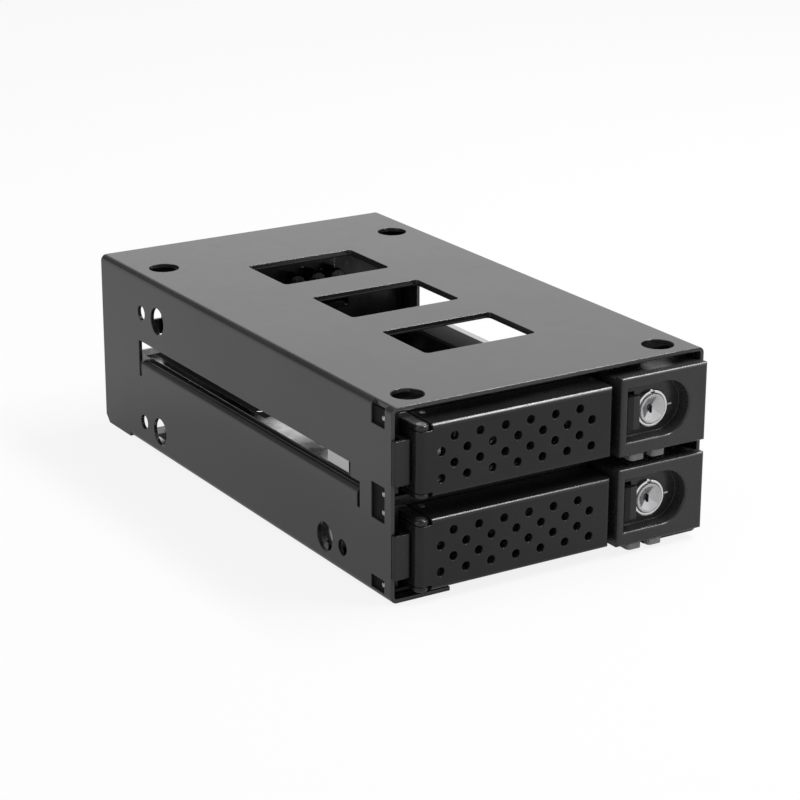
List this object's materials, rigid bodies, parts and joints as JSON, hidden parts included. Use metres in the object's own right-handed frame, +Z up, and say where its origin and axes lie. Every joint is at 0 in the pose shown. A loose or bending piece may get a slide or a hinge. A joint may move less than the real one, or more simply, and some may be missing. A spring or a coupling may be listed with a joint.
{
  "type": "two-bay hot-swap drive cage",
  "caption": "Black folded-sheet drive cage with an open back and sliding hot-swap trays, each with a perforated swing lever, a finger latch and a turning lock.",
  "frame": {"origin": "centre of the whole cage's footprint, on the plane of its bottom flanges", "axes": "+X to the right seen from the front, +Y from the front to the back, +Z up"},
  "size_m": [0.11, 0.1908, 0.059],
  "materials": {
    "case_paint": "satin black powder coat",
    "tray_steel": "bright zinc plate",
    "strip_plastic": "moulded black",
    "frame_plastic": "moulded black",
    "lever_plastic": "fine grained black",
    "housing_plastic": "fine grained black",
    "slider_plastic": "moulded black",
    "guide_plastic": "frosted translucent grey",
    "circuit_board": "solder mask over glass laminate",
    "socket_plastic": "moulded black",
    "power_plastic": "moulded off-white",
    "can_aluminium": "drawn can",
    "bracket_steel": "zinc plated sheet",
    "bright_steel": "nickel plated",
    "spring_steel": "bright wire",
    "lock_chrome": "bright plated"
  },
  "bodies": {
    "case": {"case_shell": "case_paint", "left_guide_strip": "strip_plastic", "right_guide_strip": "strip_plastic", "strip_rivets": "bright_steel", "backplane_board": "circuit_board", "left_board_bracket": "bracket_steel", "right_board_bracket": "bracket_steel", "board_screws": "bright_steel", "lower_drive_connector": "socket_plastic", "upper_drive_connector": "socket_plastic", "data_connectors": "socket_plastic", "power_connector": "power_plastic", "board_capacitors": "can_aluminium"},
    "lower_tray": {"lower_tray_pan": "tray_steel", "lower_pan_screws": "bright_steel", "lower_front_frame": "frame_plastic", "lower_hinge_pin": "bright_steel", "lower_latch_housing": "housing_plastic", "lower_housing_screws": "bright_steel", "lower_latch_spring": "spring_steel", "lower_lock_bezel": "lock_chrome", "lower_light_guides": "guide_plastic", "lower_indicator_board": "circuit_board"},
    "lower_handle": {"lower_lever": "lever_plastic"},
    "lower_catch": {"lower_latch_slider": "slider_plastic"},
    "lower_lock": {"lower_lock_barrel": "lock_chrome", "lower_lock_cam": "bracket_steel", "lower_lock_nut": "bright_steel"},
    "upper_tray": {"upper_tray_pan": "tray_steel", "upper_pan_screws": "bright_steel", "upper_front_frame": "frame_plastic", "upper_hinge_pin": "bright_steel", "upper_latch_housing": "housing_plastic", "upper_housing_screws": "bright_steel", "upper_latch_spring": "spring_steel", "upper_lock_bezel": "lock_chrome", "upper_light_guides": "guide_plastic", "upper_indicator_board": "circuit_board"},
    "upper_handle": {"upper_lever": "lever_plastic"},
    "upper_catch": {"upper_latch_slider": "slider_plastic"},
    "upper_lock": {"upper_lock_barrel": "lock_chrome", "upper_lock_cam": "bracket_steel", "upper_lock_nut": "bright_steel"}
  },
  "joints": [
    {"name": "lower_tray_slide", "type": "slide", "parent": "case", "child": "lower_tray", "axis": [0, -1, 0], "range_m": [0, 0.15]},
    {"name": "lower_lever_hinge", "type": "hinge", "parent": "lower_tray", "child": "lower_handle", "pos_m": [-0.0466, -0.0923, 0.0144], "axis": [0, 0, -1], "range_deg": [0, 80]},
    {"name": "lower_latch_slide", "type": "slide", "parent": "lower_tray", "child": "lower_catch", "axis": [1, 0, 0], "range_m": [0, 0.0018], "stiffness_N_per_m": 400},
    {"name": "lower_lock_turn", "type": "hinge", "parent": "lower_tray", "child": "lower_lock", "pos_m": [0.0352, -0.0911, 0.0149], "axis": [0, 1, 0], "range_deg": [0, 90]},
    {"name": "upper_tray_slide", "type": "slide", "parent": "case", "child": "upper_tray", "axis": [0, -1, 0], "range_m": [0, 0.15]},
    {"name": "upper_lever_hinge", "type": "hinge", "parent": "upper_tray", "child": "upper_handle", "pos_m": [-0.0466, -0.0923, 0.0428], "axis": [0, 0, -1], "range_deg": [0, 80]},
    {"name": "upper_latch_slide", "type": "slide", "parent": "upper_tray", "child": "upper_catch", "axis": [1, 0, 0], "range_m": [0, 0.0018], "stiffness_N_per_m": 400},
    {"name": "upper_lock_turn", "type": "hinge", "parent": "upper_tray", "child": "upper_lock", "pos_m": [0.0352, -0.0911, 0.0433], "axis": [0, 1, 0], "range_deg": [0, 90]}
  ]
}
